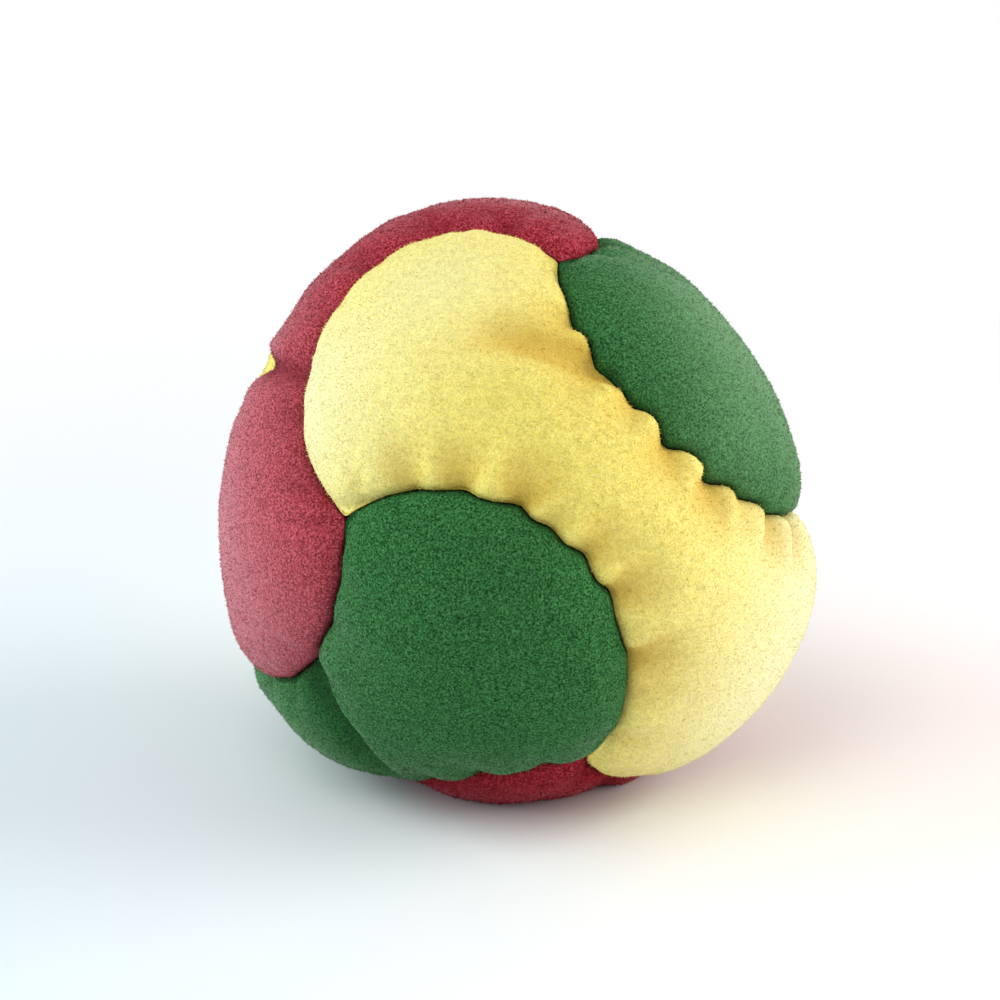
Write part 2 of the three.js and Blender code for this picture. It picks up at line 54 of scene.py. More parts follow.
# Suede and seams, in millimetres
SUEDE_THICKNESS = 1.1
SEAM_GAP = 0.1
SEAM_DEPTH = 2.0  # of a seam line, below the crown
ALLOWANCE_DEPTH = 2.9
SKIRT = 3.0  # how far in from its seams a panel's even field begins
NOTCH_SPREAD = 0.035  # of a seam's length
SEAM_END = 0.07  # share of a seam's length in which its tucks fade out at a corner
WAVE_SWING = 2.0  # how far a seam waves from a puff to a tuck, of its own wave
WAVE_BACK = 0.7  # how far its puffs lie back, of the same

# Edges of the panels, in millimetres
LOBE_ROLL = 7.5  # how far in a round end rolls down to its seam
PUFF_ROLL = 3.6  # the same for a waist between its tucks
TUCK_ROLL = 10.0  # the same in a tuck
TUCK_ROLL_POWER = 1.5  # how suddenly a tuck's wider roll sets in
TUCK_FULLEST = 1.1  # the strength past which a tuck rolls no wider
ROLL_POWER = 3.0  # how flat the face stays before it rolls down
WAIST_SINK = 0.35  # how much lower a gathered waist lies beside its seams
WAIST_REACH = 5.0  # how far in it does
LOBE_RISE = 0.15  # how much higher a round end stands beside its seam
LOBE_REACH = 2.6  # how far in it does
LINE_BLEND = 0.8  # over what width the depths of two seams blend at a corner
LINE_EASE = 0.5  # over what width the face comes down to the seam line itself
SEAM_SHADE = 1.1  # how far in the nap is shaded by a seam
LUMPS = [(0.16, 9, 3), (0.1, 4.5, 7)]  # height, size and seed of the sand's lumps

# Tucks, in millimetres where a value isn't a share
TUCK_DEPTH = 1.5
TUCK_GROWTH = (0.25, 1.9)  # a tuck's depth on a straight seam, and how it grows with the waves
TUCK_SPREAD = 0.028  # of a seam's length
TUCK_REACH = 9.0  # how far in a tuck ends
TUCK_FADE = 1.3  # how soon it fades on the way there
TUCK_FAN = 5.0  # how far in a tuck has doubled its width
TUCK_DIP = 0.7  # how deep a tuck draws the seam line in, of the tuck's own depth

# Folds, in millimetres where a value isn't a share
FOLD_DIP = 0.45  # how deep a fold draws in a seam line that it meets, of its own depth
FOLD_ROUND = 0.45  # how round a fold's bottom is
FOLD_TURN = 2.0  # over what width a fold's right slope gives way to its left one
FOLD_WIDENING = 0.6  # of a fold's width: what it has where it is deepest, and gains until it fades
FOLD_FADE = 0.7  # how late a fold's depth fades along it
FOLD_PROFILE = 1.3  # how round its slopes are
LIP_SHARE = 0.12  # how high a fold's lips stand, of its depth
LIP_PLACE = 2.2  # how far out they stand, in widths of the fold
LIP_FREE = (1, 4)  # how far from a seam lips begin and are whole
BLEND = 3  # how sharply an edge, a tuck and a fold meet
CREASE_DEPTH = 1.5  # how deep the nap is wholly shaded: its sheen gone and its colour darkened by painted shade

# Room above the lining, in millimetres
LINING_ROOM = 1.2  # how far a panel may sink before it meets the lining
GROOVE_ROOM = 3.4  # the same beside a seam
GROOVE_WIDTHS = (2.8, 4.4)  # where the lining's groove along a seam begins to rise, and where it ends
FOLD_ROOM = 0.6  # how much of a main fold the lining follows
FOLD_ROOM_WIDTH = 3.4  # how wide the lining's fold is

FAR = 99.0  # farther than any two places of a panel
TINY = 1e-12

# Steps of the sheets
QUARTER_STEPS = 20  # of the face along a quarter of a seam
SEAM_STEPS = 4 * QUARTER_STEPS
ROWS = 6 * QUARTER_STEPS
COLUMNS = 2 * QUARTER_STEPS
LOOP_STEPS = 4 * SEAM_STEPS
TOP_START = QUARTER_STEPS  # where on the loop the grid's sides start
RIGHT_START = TOP_START + COLUMNS
BOTTOM_START = RIGHT_START + ROWS
GUIDE_STEPS = 16  # of the coarse loop that finds the way in from a seam
GUIDE_PASSES = 10
GUIDE_RELAX = 0.35
SAMPLES = 400
SHARPEST = 0.5  # keeps a narrow corner's tip from running past its seams
EDGE_WIDTHS = [2.2, 1.55, 1.05, 0.68, 0.4, 0.22, 0.11]  # loops between the field and the seam line
ALLOWANCE_STEPS = 3

CORNER_DEGREES = {
    "front_left": (-37, 13),
    "front_top": (32, 75),
    "front_low": (19, -43),
    "front_right": (88, 2),
    "back_right": (143, -13),
    "back_base": (-148, -75),
    "back_top": (-161, 43),
    "back_left": (-103, -5),
}
PANELS = {
    "yellow_front_panel": ("front_top", "front_left", "front_low", "front_right"),
    "yellow_back_panel": ("back_right", "back_base", "back_left", "back_top"),
    "red_left_panel": ("back_left", "front_left", "front_top", "back_top"),
    "red_base_panel": ("back_right", "front_right", "front_low", "back_base"),
    "green_lower_panel": ("front_low", "front_left", "back_left", "back_base"),
    "green_upper_panel": ("front_top", "front_right", "back_right", "back_top"),
}

# Each seam: its corners, the panel whose waist it gathers, its bulge in degrees, its lean, how far
# it waves in millimetres, its tucks, each a share along it and a strength, and any notch in it,
# a share along it and a depth in millimetres
SEAMS = [
    ("front_left", "front_top", "red_left_panel", 32, 0.08, 0.16,
     [(0.1, 0.6), (0.22, 1.0), (0.34, 0.8), (0.46, 0.7), (0.58, 1.0), (0.7, 0.9), (0.78, 1.0), (0.86, 1.0),
      (0.93, 0.7)]),
    ("front_low", "front_right", "red_base_panel", 27, -0.06, 0.2,
     [(0.1, 0.7), (0.23, 0.9), (0.35, 0.6), (0.48, 1.0), (0.61, 0.8), (0.73, 0.9), (0.87, 0.7)]),
    ("back_left", "back_top", "red_left_panel", 22.8, -0.04, 0.25,
     [(0.12, 0.8), (0.24, 0.9), (0.37, 1.0), (0.5, 1.0), (0.64, 0.8), (0.75, 1.0), (0.88, 0.6)], (0.37, 0.7)),
    ("back_base", "back_right", "red_base_panel", 26, 0, 0.25,
     [(0.11, 0.7), (0.25, 1.0), (0.37, 0.7), (0.49, 0.8), (0.63, 1.0), (0.76, 0.7), (0.89, 0.8)]),
    ("front_left", "back_left", "green_lower_panel", 34, 0.02, 0.15,
     [(0.11, 0.5), (0.21, 0.7), (0.33, 1.0), (0.47, 0.8), (0.6, 1.0), (0.74, 0.8), (0.87, 0.7)]),
    ("front_top", "back_top", "green_upper_panel", 20, 0.06, 0.2,
     [(0.12, 0.6), (0.25, 0.8), (0.37, 1.0), (0.5, 0.7), (0.63, 0.9), (0.77, 1.0), (0.89, 0.6)]),
    ("front_low", "back_base", "green_lower_panel", 25, 0.06, 0.12,
     [(0.1, 0.6), (0.24, 0.9), (0.36, 0.7), (0.5, 1.0), (0.62, 0.8), (0.75, 0.9), (0.88, 0.7)]),
    ("front_right", "back_right", "green_upper_panel", 29, 0, 0.25,
     [(0.12, 0.8), (0.23, 0.7), (0.36, 1.0), (0.51, 0.8), (0.62, 0.9), (0.76, 0.7), (0.88, 1.0)]),
    ("front_left", "front_low", "yellow_front_panel", 36, -0.05, 0.45,
     [(0.05, 0.4), (0.14, 0.8), (0.23, 0.9), (0.34, 1.0), (0.42, 0.5), (0.51, 0.8), (0.61, 0.9),
      (0.75, 1.0), (0.82, 0.6), (0.93, 0.5)]),
    ("front_top", "front_right", "yellow_front_panel", 35, -0.03, 0.42,
     [(0.06, 0.25), (0.17, 0.9), (0.26, 1.2), (0.355, 0.8), (0.46, 1.1), (0.58, 1.2), (0.66, 0.7),
      (0.76, 1.1), (0.85, 1.0)]),
    ("back_left", "back_base", "yellow_back_panel", 30, 0, 0.22,
     [(0.1, 0.8), (0.22, 0.9), (0.35, 0.7), (0.48, 1.0), (0.6, 0.8), (0.74, 1.0), (0.87, 0.6)]),
    ("back_top", "back_right", "yellow_back_panel", 30, 0, 0.22,
     [(0.11, 0.7), (0.24, 1.0), (0.35, 0.8), (0.5, 0.9), (0.61, 1.0), (0.76, 0.8), (0.88, 0.8)]),
]

# Where the sand bulges the bag: the middle and the spread in degrees, and the height's share
SWELLS = [
    ((-74, -37), 26, 1.15),
    ((-77, -32), 8, 0.35),
    ((-86, -12), 18, -0.3),
    ((-130, 60), 28, 0.6),
    ((-104, 30), 20, -0.6),
    ((-105, 34), 9, 0.65),
    ((-97, 19), 6, 0.35),
    ((-48, -60), 14, 0.2),
    ((82, -22), 24, 0.6),
    ((70, -45), 20, 0.5),
    ((56, -56), 14, 0.22),
    ((86, -8), 9, 0.25),
    ((94, 4), 16, -1.1),
    ((90, 0), 6, -0.6),
    ((110, 36), 30, -1.9),
    ((158, 69), 22, -0.22),
]

# Main folds, each from where it is deepest to where it has faded: degrees, depth, and the widths of
# its left and right slopes, in millimetres
FOLDS = [
    ("yellow_front_panel", [(27, 43), (14, 48), (-3, 51), (-20, 49)], 3.0, 1.7, 3.2),
    ("yellow_front_panel", [(21, 57), (14, 58), (5, 60)], 1.0, 1.0, 1.4),
    ("yellow_front_panel", [(29, 38), (26, 33), (23, 29)], 0.9, 1.2, 1.2),
    ("yellow_front_panel", [(34, 26), (33, 21), (34, 16)], 1.1, 0.9, 1.2),
    ("yellow_front_panel", [(37, 22), (38, 17), (38, 13)], 0.8, 0.8, 1.1),
    ("yellow_front_panel", [(42, 18), (43, 13), (46, 6)], 1.15, 0.8, 1.3),
    ("yellow_front_panel", [(48, 15), (49, 10), (51, 5)], 0.9, 0.7, 1.0),
    ("yellow_front_panel", [(54, 14), (56, 8), (61, -1)], 1.1, 0.8, 1.3),
    ("yellow_front_panel", [(18, -12), (25, -18), (38, -21)], 1.4, 1.4, 1.6),
    ("yellow_front_panel", [(16, -5), (22, -6), (29, -9)], 0.6, 1.2, 1.2),
    ("yellow_front_panel", [(10, 21), (9, 27), (7, 33)], 0.5, 1.0, 1.0),
    ("yellow_front_panel", [(20, 4), (27, 8), (33, 12)], 0.4, 1.2, 1.2),
    ("green_lower_panel", [(-47, -18), (-45, -25), (-40, -33), (-38, -44), (-40, -58)], 2.6, 0.9, 4.2),
    ("red_left_panel", [(-99, 28), (-79, 33), (-50, 38), (-30, 40)], 1.85, 1.0, 1.9),
    ("red_left_panel", [(-39, 17), (-46, 16), (-55, 20)], 1.15, 1.4, 2.4),
    ("red_left_panel", [(-41, 11), (-50, 10), (-58, 9)], 0.7, 1.0, 1.4),
    ("red_left_panel", [(-66, 66), (-82, 60), (-96, 54)], 1.0, 0.9, 1.3),
    ("red_left_panel", [(-62, 72), (-91, 75), (-104, 73), (-118, 69), (-135, 60)], 1.2, 1.1, 1.5),
    ("red_left_panel", [(-10, 84), (-40, 87), (-103, 86), (-130, 81), (-138, 70)], 1.2, 1.1, 1.5),
    ("yellow_back_panel", [(-176, -16), (-164, -18), (-150, -18)], 1.2, 1.6, 2.4),
    ("green_upper_panel", [(118, 54), (124, 42), (128, 30)], 1.0, 1.8, 2.6),
    ("red_base_panel", [(78, -36), (86, -46), (96, -56)], 1.0, 1.6, 2.4),
]

# Where the nap is painted pale, as painted light from lamps grazing it: the middle and the spread in degrees,
# and how strongly
PAINTED_LIGHT_SPOTS = {
    "yellow_front_panel": [
        ((-56, 30), 22, 0.8),
        ((-30, 64), 16, 0.4),
        ((74, -14), 34, 0.85),
        ((58, -40), 22, 0.35),
    ],
    "red_left_panel": [((-92, -2), 32, 0.6), ((-54, -12), 18, 0.12), ((-98, 30), 14, 0.3)],
    "green_upper_panel": [
        ((98, 34), 28, 0.75),
        ((84, 8), 14, 0.5),
        ((70, 50), 16, 0.3),
        ((54, 26), 16, 0.3),
    ],
    "green_lower_panel": [((-82, -40), 18, 0.55), ((-44, -10), 12, 0.2)],
    "red_base_panel": [((120, -40), 24, 0.4)],
    "yellow_back_panel": [((-150, 20), 30, 0.3)],
}


def painted_light(name, directions):
    """How strongly painted light pales the nap, from 0 to 1."""
    total = np.zeros(len(directions))
    for middle, spread, share in PAINTED_LIGHT_SPOTS[name]:
        total += share * bell(directions, middle, spread)
    return np.minimum(1, total)


def bell(directions, middle, spread):
    """1 at the middle of a spot on the bag, falling off over its spread in degrees."""
    away = np.degrees(np.arccos(np.clip(directions @ direction_of(middle), -1, 1))) / spread
    return np.exp(-(away**2))


def direction_of(degrees):
    """The unit direction at a longitude from the front and a latitude."""
    across, up = np.radians(degrees[0]), np.radians(degrees[1])
    return np.array([np.cos(up) * np.sin(across), -np.cos(up) * np.cos(across), np.sin(up)])


def unit(vectors):
    """The vectors at length 1."""
    return vectors / np.linalg.norm(vectors, axis=-1, keepdims=True)


def ease(value):
    """From 0 to 1 with a soft start and end."""
    value = np.clip(value, 0, 1)
    return value * value * (3 - 2 * value)


CORNERS = {name: direction_of(degrees) for name, degrees in CORNER_DEGREES.items()}


class Seam:
    """A seam line on the unit sphere, from its first corner to its second."""

    def __init__(self, start, end, waist, bulge, lean, wave, tucks, notch=None):
        self.ends = (start, end)
        self.waist = waist
        self.bulge = np.radians(bulge)
        self.lean = lean
        self.wave = wave
        self.tucks = tucks
        self.notch = notch
        a, b = CORNERS[start], CORNERS[end]
        left = unit(np.cross(a, b))
        middle = sum(CORNERS[name] for name in PANELS[waist])
        self.side = np.sign(left @ middle)
        self.left = left
        self.middle = unit(a + b)
        self.forward = np.cross(left, self.middle)
        self.span = math.acos(a @ b)
        self.shares = np.linspace(0, 1, SAMPLES)
        self.samples = self.points(self.shares)
        drawn_in = TUCK_DIP * self.tuck_depth() * self.gather(self.shares)
        for name, loop in PANELS.items():
            if start in loop and end in loop:
                drawn_in = np.maximum(drawn_in, FOLD_DIP * fold_depth(name, self.samples)[0])
        self.depths = SEAM_DEPTH + drawn_in

    def tuck_depth(self):
        """How deep a whole tuck is."""
        least, growth = TUCK_GROWTH
        return TUCK_DEPTH * (least + growth * self.wave)

    def gather(self, share, widening=1):
        """1 in a tuck, 0 on the puffs between, fading out at the seam's ends."""
        total = np.zeros_like(share)
        for place, strength in self.tucks:
            away = (share - place) / TUCK_SPREAD / widening
            total = np.maximum(total, strength * np.exp(-(away**2)))
        return total * ease(share / SEAM_END) * ease((1 - share) / SEAM_END)

    def angles(self, share):
        """The bowed line's turn, and its angles along and across the straight one."""
        turn = np.pi * share
        along = self.span * (self.lean * np.sin(turn) - np.cos(turn) / 2)
        return turn, along, self.bulge * np.sin(turn)

    def points(self, share):
        """Directions of the seam line with its waves and its notch."""
        turn, along, lift = self.angles(share)
        swing = WAVE_SWING * self.gather(share) - WAVE_BACK
        lift = lift + self.wave / BAG_RADIUS * swing * np.sqrt(np.abs(np.sin(turn)))
        if self.notch:
            place, depth = self.notch
            lift = lift + depth / BAG_RADIUS * np.exp(-(((share - place) / NOTCH_SPREAD) ** 2))
        return (
            np.outer(np.cos(along) * np.cos(lift), self.middle)
            + np.outer(np.sin(along) * np.cos(lift), self.forward)
            + np.outer(np.sin(lift) * self.side, self.left)
        )

    def sideways(self, share):
        """Across the seam, towards the panel whose waist it gathers."""
        turn, along, lift = self.angles(share)
        along_rate = self.span * (self.lean * np.cos(turn) + np.sin(turn) / 2)
        lift_rate = self.bulge * np.cos(turn)
        level, rise = np.cos(lift) * along_rate, np.sin(lift) * lift_rate
        tangent = (
            np.outer(-np.sin(along) * level - np.cos(along) * rise, self.middle)
            + np.outer(np.cos(along) * level - np.sin(along) * rise, self.forward)
            + np.outer(np.cos(lift) * lift_rate * self.side, self.left)
        )
        return unit(np.cross(self.points(share), tangent)) * self.side


def panel_sides(name):
    """The panel's four seams in order: whether each runs backwards, and 1 where the panel is its waist."""
    loop = PANELS[name]
    sides = []
    for index, start in enumerate(loop):
        end = loop[(index + 1) % len(loop)]
        seam = next(one for one in SEAM_LIST if set(one.ends) == {start, end})
        sides.append((seam, seam.ends[0] == end, 1 if seam.waist == name else -1))
    return sides


def seam_loop(name, width, steps):
    """Directions a small width inside the panel's seams, with a number of steps along each."""
    shares = np.arange(steps) / steps
    points, inwards = [], []
    for seam, backwards, inside in panel_sides(name):
        along = 1 - shares if backwards else shares
        points.append(seam.points(along))
        inwards.append(seam.sideways(along) * inside)
    for index in range(len(inwards)):
        before, backwards, inside = panel_sides(name)[index - 1]
        other = before.sideways(np.array([0.0 if backwards else 1.0]))[0] * inside
        own = inwards[index][0]
        inwards[index][0] = (own + other) / max(SHARPEST, 1 + own @ other)
    return unit(np.concatenate(points) + np.concatenate(inwards) * width / BAG_RADIUS)


def field_loop(name):
    """The rim of the panel's field: a coarse loop shrunk inwards evenly, then drawn finely."""
    loop = seam_loop(name, SEAM_GAP / 2, GUIDE_STEPS)
    stride = (SKIRT - SEAM_GAP / 2) / GUIDE_PASSES / BAG_RADIUS
    for _ in range(GUIDE_PASSES):
        inwards = unit(np.cross(loop, np.roll(loop, -1, 0) - np.roll(loop, 1, 0)))
        loop = unit(loop + inwards * stride)
        between = (np.roll(loop, -1, 0) + np.roll(loop, 1, 0)) / 2
        loop = unit(loop + (between - loop) * GUIDE_RELAX)
    fine = SEAM_STEPS // GUIDE_STEPS
    drawn = []
    for step in range(fine):
        t = step / fine
        weights = (  # of a Catmull-Rom curve through the coarse points
            (-t + 2 * t * t - t**3) / 2,
            (2 - 5 * t * t + 3 * t**3) / 2,
            (t + 4 * t * t - 3 * t**3) / 2,
            (-t * t + t**3) / 2,
        )
        drawn.append(sum(w * np.roll(loop, 1 - k, 0) for k, w in enumerate(weights)))
    return unit(np.stack(drawn, 1).reshape(-1, 3))


def rim_index(row, column):
    """Where a point of the grid's rim lies on the loop, or -1 inside. The grid's corners are a
    quarter along the two seams of the panel's round ends."""
    if row == 0:
        return TOP_START + column
    if column == COLUMNS:
        return RIGHT_START + row
    if row == ROWS:
        return BOTTOM_START + COLUMNS - column
    return (TOP_START - row) % LOOP_STEPS if column == 0 else -1


def fill_directions(loop):
    """Directions of the grid inside the loop, blended between its four sides."""
    top = loop[TOP_START:RIGHT_START + 1]
    right = loop[RIGHT_START:BOTTOM_START + 1]
    bottom = loop[BOTTOM_START:BOTTOM_START + COLUMNS + 1][::-1]
    left = np.take(loop, [(TOP_START - row) % LOOP_STEPS for row in range(ROWS + 1)], axis=0)
    down = (np.arange(ROWS + 1) / ROWS)[:, None, None]
    across = (np.arange(COLUMNS + 1) / COLUMNS)[None, :, None]
    ruled = (
        top[None] * (1 - down) + bottom[None] * down + left[:, None] * (1 - across) + right[:, None] * across
        - top[0] * (1 - down) * (1 - across) - top[-1] * (1 - down) * across
        - bottom[-1] * down * across - bottom[0] * down * (1 - across)
    )
    return unit(ruled)


def nearest_on(seam, directions):
    """Distance in millimetres to a seam, and the share along it."""
    cosines = directions @ seam.samples.T
    best = cosines.argmax(1)
    distance = np.arccos(np.clip(cosines.max(1), -1, 1)) * BAG_RADIUS
    return distance, best / (SAMPLES - 1)


def kept_inside(name, directions):
    """Brings places that a hooked corner has thrown past a seam back to the panel's side of it."""
    for seam, _, inside in panel_sides(name):
        best = (directions @ seam.samples.T).argmax(1)
        line = seam.samples[best]
        inwards = seam.sideways(seam.shares[best]) * inside
        away = directions - line
        past = ((away * inwards).sum(1) < 0) & (np.linalg.norm(away, axis=1) < SKIRT / BAG_RADIUS)
        beside = unit(line + inwards * SEAM_GAP / 2 / BAG_RADIUS)
        directions = np.where(past[:, None], beside, directions)
    return directions


def lumps(directions, size, seed):
    """Soft noise from -1 to 1, over lumps of a size in millimetres."""
    scale = BAG_RADIUS / size
    return np.array([noise.noise(Vector(d * scale) + Vector((seed, 2 * seed, -seed))) for d in directions])


def crown(directions):
    """The radius of the bag before its panels roll down to the seams."""
    radius = np.full(len(directions), BAG_RADIUS)
    for middle, spread, share in SWELLS:
        radius += SWELL_HEIGHT * share * bell(directions, middle, spread)
    return radius


def settled(directions, radius):
    """Flattens what would lie below the foot, with a soft turn at its edge."""
    height = CENTRE_HEIGHT + radius * directions[:, 2]
    kept = np.where(height <= -SETTLE_ROUND, 0, (height + SETTLE_ROUND) ** 2 / (4 * SETTLE_ROUND))
    low = (directions[:, 2] < 0) & (height < SETTLE_ROUND)
    down = np.where(low, directions[:, 2], -1)
    return np.where(low, (kept - CENTRE_HEIGHT) / down, radius)


def fold_depth(name, directions):
    """The depth of the panel's folds at each place, the height of their lips, and the lining's give."""
    depth = np.zeros(len(directions))
    lips = np.zeros(len(directions))
    room = np.zeros(len(directions))
    for panel, places, deepest, left_width, right_width in FOLDS:
        if panel != name:
            continue
        line = np.array([direction_of(place) for place in places])
        best = np.full(len(directions), FAR)
        share = np.zeros(len(directions))
        leftness = np.zeros(len(directions))
        for index in range(len(line) - 1):
            a, b = line[index], line[index + 1]
            t = np.clip((directions - a) @ (b - a) / ((b - a) @ (b - a)), 0, 1)
            away = np.linalg.norm(directions - unit(a + t[:, None] * (b - a)), axis=1) * BAG_RADIUS
            closer = away < best
            share = np.where(closer, (index + t) / (len(line) - 1), share)
            leftness = np.where(closer, directions @ unit(np.cross(a, b)) * BAG_RADIUS, leftness)
            best = np.minimum(best, away)
        side = ease(leftness / FOLD_TURN + 0.5)
        width = right_width + (left_width - right_width) * side
        width = width * (FOLD_WIDENING + FOLD_WIDENING * share)
        height = deepest * (1 - share) ** FOLD_FADE
        rounded = np.sqrt(best**2 + FOLD_ROUND**2) - FOLD_ROUND
        depth = np.maximum(depth, height * np.exp(-((rounded / width) ** FOLD_PROFILE)))
        beside = (best - LIP_PLACE * width) / width
        lips = np.maximum(lips, LIP_SHARE * height * np.exp(-(beside**2)))
        if deepest > LINING_ROOM:
            room = np.maximum(room, FOLD_ROOM * deepest * np.exp(-((best / FOLD_ROOM_WIDTH) ** 2)))
    return depth, lips, room


SEAM_LIST = [Seam(*values) for values in SEAMS]


def line_depth(name, directions):
    """How deep the seam line lies below the crown, next to each place."""
    total = np.zeros(len(directions))
    weights = np.full(len(directions), TINY)
    for seam, _, _ in panel_sides(name):
        distance, share = nearest_on(seam, directions)
        weight = np.exp(-distance / LINE_BLEND)
        total += weight * np.interp(share, seam.shares, seam.depths)
        weights += weight
    return (total + TINY * SEAM_DEPTH) / weights


def face_radius(name, directions):
    """The radius of the panel's face, how near a seam each place is, and how folded in it is, 0 to 1."""
    rolls = np.zeros(len(directions))
    tucks = np.zeros(len(directions))
    lean = np.zeros(len(directions))
    nearest = np.full(len(directions), FAR)
    for seam, _, inside in panel_sides(name):
        distance, share = nearest_on(seam, directions)
        gather = seam.gather(share)
        if inside > 0:
            fullness = np.clip(gather, 0, TUCK_FULLEST) ** TUCK_ROLL_POWER
            width = PUFF_ROLL + (TUCK_ROLL - PUFF_ROLL) * fullness
            reach = np.clip(1 - distance / TUCK_REACH, 0, 1) ** TUCK_FADE
            fanned = seam.gather(share, 1 + distance / TUCK_FAN)
            tucks = np.maximum(tucks, seam.tuck_depth() * fanned * reach)
            lean += WAIST_SINK * np.exp(-((distance / WAIST_REACH) ** 2))
        else:
            width = LOBE_ROLL
            lean -= LOBE_RISE * np.exp(-(((distance - LOBE_REACH) / LOBE_REACH) ** 2))
        rolls += np.clip(1 - distance / width, 0, 1) ** ROLL_POWER
        nearest = np.minimum(nearest, distance)
    line = line_depth(name, directions)
    edge = line * (1 - np.sqrt(1 - np.minimum(1, rolls) ** (2 / ROLL_POWER)))
    fold, lips, room = fold_depth(name, directions)
    pinched = (fold**BLEND + tucks**BLEND) ** (1 / BLEND)
    depth = (edge**BLEND + pinched**BLEND) ** (1 / BLEND)
    depth -= sum(height * lumps(directions, size, seed) for height, size, seed in LUMPS)
    low, high = LIP_FREE
    depth += lean - lips * ease((nearest - low) / (high - low))
    low, high = GROOVE_WIDTHS
    beside = 1 - ease((nearest - low) / (high - low))
    depth = np.minimum(depth, LINING_ROOM + room + (GROOVE_ROOM - LINING_ROOM) * beside)
    drawn_down = depth + (line - depth) * (1 - ease(nearest / LINE_EASE))
    depth = np.where(nearest < LINE_EASE, drawn_down, depth)
    closeness = np.exp(-nearest / SEAM_SHADE)
    return radius_at(directions, depth), closeness, np.clip(pinched / CREASE_DEPTH, 0, 1)


def radius_at(directions, depth):
    """The radius at a depth below the crown, once the bag has settled."""
    return settled(directions, crown(directions) - depth)


def panel_sheet(name):
    """One layer of suede: the face, its rolled edges, and the allowances turned in."""
    bm = bmesh.new()
    rim = bm.verts.layers.int.new("rim")
    near = bm.verts.layers.float.new("seam_near")
    sewn = bm.verts.layers.float.new("sewn")
    # Painted light: how strongly each place is painted pale
    painted_pale = bm.verts.layers.float.new("painted_light")
    # How deep each place is folded in, which sets its painted crease shade
    crease = bm.verts.layers.float.new("crease")
    bmesh.ops.create_grid(bm, x_segments=COLUMNS, y_segments=ROWS, size=1)
    field = field_loop(name)
    filled = fill_directions(field)
    for vert in bm.verts:
        column = round((vert.co.x + 1) / 2 * COLUMNS)
        row = round((vert.co.y + 1) / 2 * ROWS)
        vert[rim] = rim_index(row, column)
        vert.co = filled[row, column]
    edge = seam_loop(name, SEAM_GAP / 2, SEAM_STEPS)
    for width in EDGE_WIDTHS:
        place_loop(bm, rim, unit(edge + (field - edge) * (width - SEAM_GAP / 2) / (SKIRT - SEAM_GAP / 2)))
    place_loop(bm, rim, edge)
    bm.verts.ensure_lookup_table()
    directions = kept_inside(name, unit(np.array([vert.co for vert in bm.verts])))
    radii, closeness, pinches = face_radius(name, directions)
    places = CENTRE + directions * radii[:, None]
    for vert, place, close, pinch, pale_light in zip(bm.verts, places, closeness, pinches, painted_light(name, directions)):
        vert.co = place
        vert[near] = close
        vert[painted_pale] = pale_light
        vert[crease] = pinch
        vert[sewn] = FOLD_GRIP * pinch
    line = radius_at(edge, line_depth(name, edge))
    foot = radius_at(edge, SEAM_DEPTH + ALLOWANCE_DEPTH)
    for vert in [v for v in bm.verts if v.is_boundary]:
        vert.co = CENTRE + edge[vert[rim]] * line[vert[rim]]
        vert[sewn] = 1
    for step in range(ALLOWANCE_STEPS):
        share = (step + 1) / ALLOWANCE_STEPS
        place_loop(bm, rim, CENTRE + edge * (line + (foot - line) * share)[:, None])
    bmesh.ops.recalc_face_normals(bm, faces=bm.faces)
    outwards = sum((face.calc_center_median() - Vector(CENTRE)).dot(face.normal) for face in bm.faces)
    if outwards < 0:
        bmesh.ops.reverse_faces(bm, faces=bm.faces)
    mesh = bpy.data.meshes.new(name + "_suede")
    bm.to_mesh(mesh)
    bm.free()
    piece = bpy.data.objects.new(name + "_suede", mesh)
    bpy.context.collection.objects.link(piece)
    return piece


def place_loop(bm, rim, loop):
    """Extrudes the sheet's open edge and lays the new edge along a loop."""
    grown = bmesh.ops.extrude_edge_only(bm, edges=[edge for edge in bm.edges if edge.is_boundary])
    for vert in [item for item in grown["geom"] if isinstance(item, bmesh.types.BMVert)]:
        vert.co = loop[vert[rim]]


def read(items, key, width=1, kind=float):
    """One property of all items of a mesh, as an array with a row for each where it is wider than 1."""
    values = np.zeros(len(items) * width, dtype=kind)
    items.foreach_get(key, values)
    return values if width == 1 else values.reshape(-1, width)


# Pressing out: the sheets are simulated larger than life, where the solver works well
SIM_SCALE = 0.05  # scene units for a millimetre
SIM_FRAMES = 20
SIM_CAP = 0.8  # millimetres that the cloth may move
FOLD_GRIP = 0.6  # how firmly a fold's bottom is held while the sand presses out the panels
FOLD_HOLD = 0.9  # the share of that cap that the bottom of a fold loses
SLACK_GAIN = 1.6  # raises the cloth's spare length beside a seam, up to the whole of it


def grip_cloth(piece):
    """Marks for the solver where the sheet is held, and where its gathers give it spare length."""
    pins = piece.vertex_groups.new(name="sewn")
    slack = piece.vertex_groups.new(name="slack")
    sewn = piece.data.attributes["sewn"].data
    near = piece.data.attributes["seam_near"].data
    for index in range(len(sewn)):
        if sewn[index].value > 0:
            pins.add([index], min(1.0, sewn[index].value), "REPLACE")
        slack.add([index], min(1.0, near[index].value * SLACK_GAIN), "REPLACE")


def lay_cloth(piece):
    """Suede as the solver sees it, pressed from inside."""
    cloth = piece.modifiers.new("settle", "CLOTH")
    settings = cloth.settings
    settings.quality = 6
    settings.mass = 0.25
    settings.tension_stiffness = 25
    settings.compression_stiffness = 25
    settings.shear_stiffness = 12
    settings.bending_stiffness = 1.2
    settings.vertex_group_mass = "sewn"
    settings.pin_stiffness = 1
    settings.use_pressure = True
    settings.uniform_pressure_force = 3
    settings.shrink_min = -0.004
    settings.shrink_max = -0.1
    settings.vertex_group_shrink = "slack"
    settings.effector_weights.gravity = 0
    cloth.point_cache.frame_start = 1
    cloth.point_cache.frame_end = SIM_FRAMES


